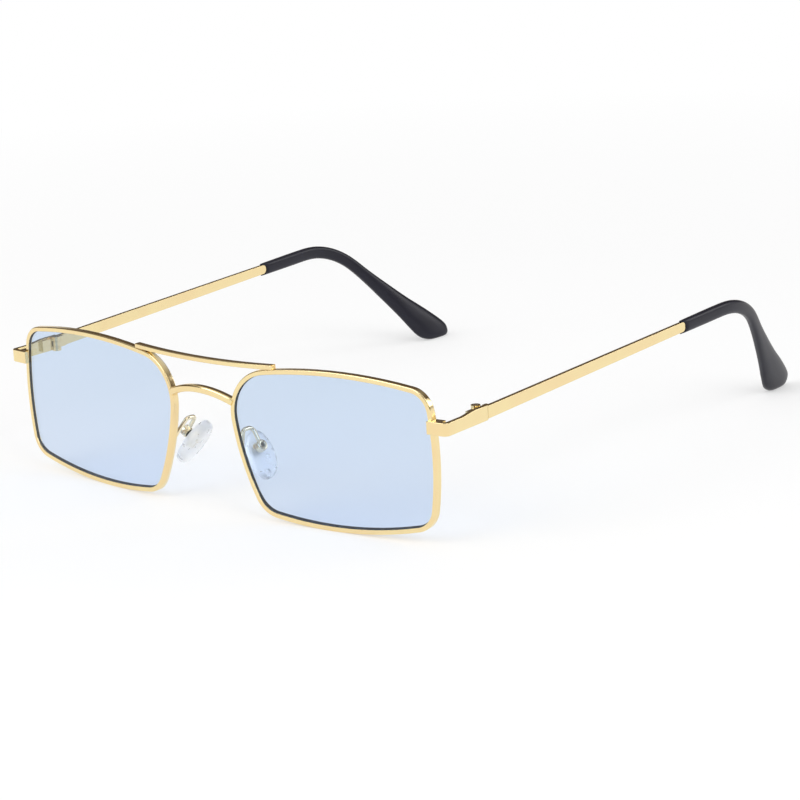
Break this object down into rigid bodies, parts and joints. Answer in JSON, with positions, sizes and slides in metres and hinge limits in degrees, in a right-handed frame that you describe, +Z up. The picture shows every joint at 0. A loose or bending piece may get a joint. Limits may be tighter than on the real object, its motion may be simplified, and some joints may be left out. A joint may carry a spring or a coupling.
{
  "type": "sunglasses",
  "caption": "Slim wire-framed rectangle sunglasses with a top bar, light blue lenses, rocking nose pads and folding temples with black ear tips; worn to shade the eyes.",
  "frame": {"origin": "on the surface the open pair stands on, midway between the temples and halfway from the front to the tips", "axes": "+X to the wearer's left, +Y back along the temples, +Z up"},
  "size_m": [0.1382, 0.1596, 0.0374],
  "materials": {
    "gold_metal": "polished pale gold",
    "screw_steel": "bright",
    "blue_lens": "clear with an even light blue tint",
    "black_tip": "satin",
    "clear_silicone": "soft and clear"
  },
  "bodies": {
    "front": {"brow_bar": "gold_metal", "bridge": "gold_metal", "rim_left": "gold_metal", "lens_left": "blue_lens", "closing_block_upper_left": "gold_metal", "closing_block_lower_left": "gold_metal", "rim_screw_left": "screw_steel", "endpiece_left": "gold_metal", "hinge_front_left": "gold_metal", "hinge_screw_left": "screw_steel", "pad_arm_left": "gold_metal", "pad_box_left": "gold_metal", "pad_screw_left": "screw_steel", "rim_right": "gold_metal", "lens_right": "blue_lens", "closing_block_upper_right": "gold_metal", "closing_block_lower_right": "gold_metal", "rim_screw_right": "screw_steel", "endpiece_right": "gold_metal", "hinge_front_right": "gold_metal", "hinge_screw_right": "screw_steel", "pad_arm_right": "gold_metal", "pad_box_right": "gold_metal", "pad_screw_right": "screw_steel"},
    "temple_left_body": {"hinge_temple_left": "gold_metal", "temple_left": "gold_metal", "temple_tip_left": "black_tip"},
    "nose_pad_left_body": {"nose_pad_left": "clear_silicone", "pad_insert_left": "screw_steel"},
    "temple_right_body": {"hinge_temple_right": "gold_metal", "temple_right": "gold_metal", "temple_tip_right": "black_tip"},
    "nose_pad_right_body": {"nose_pad_right": "clear_silicone", "pad_insert_right": "screw_steel"}
  },
  "joints": [
    {"name": "temple_left_fold", "type": "hinge", "parent": "front", "child": "temple_left_body", "pos_m": [0.0663, -0.0597, 0.02817], "axis": [0, 0, 1], "range_deg": [0, 89]},
    {"name": "temple_right_fold", "type": "hinge", "parent": "front", "child": "temple_right_body", "pos_m": [-0.0663, -0.0597, 0.02817], "axis": [0, 0, -1], "range_deg": [0, 82]},
    {"name": "nose_pad_left_rock", "type": "hinge", "parent": "front", "child": "nose_pad_left_body", "pos_m": [0.01208, -0.07157, 0.01584], "axis": [0.1901, 0.9672, -0.1682], "range_deg": [-8, 8]},
    {"name": "nose_pad_right_rock", "type": "hinge", "parent": "front", "child": "nose_pad_right_body", "pos_m": [-0.01208, -0.07157, 0.01584], "axis": [-0.1901, 0.9672, -0.1682], "range_deg": [-8, 8]}
  ]
}
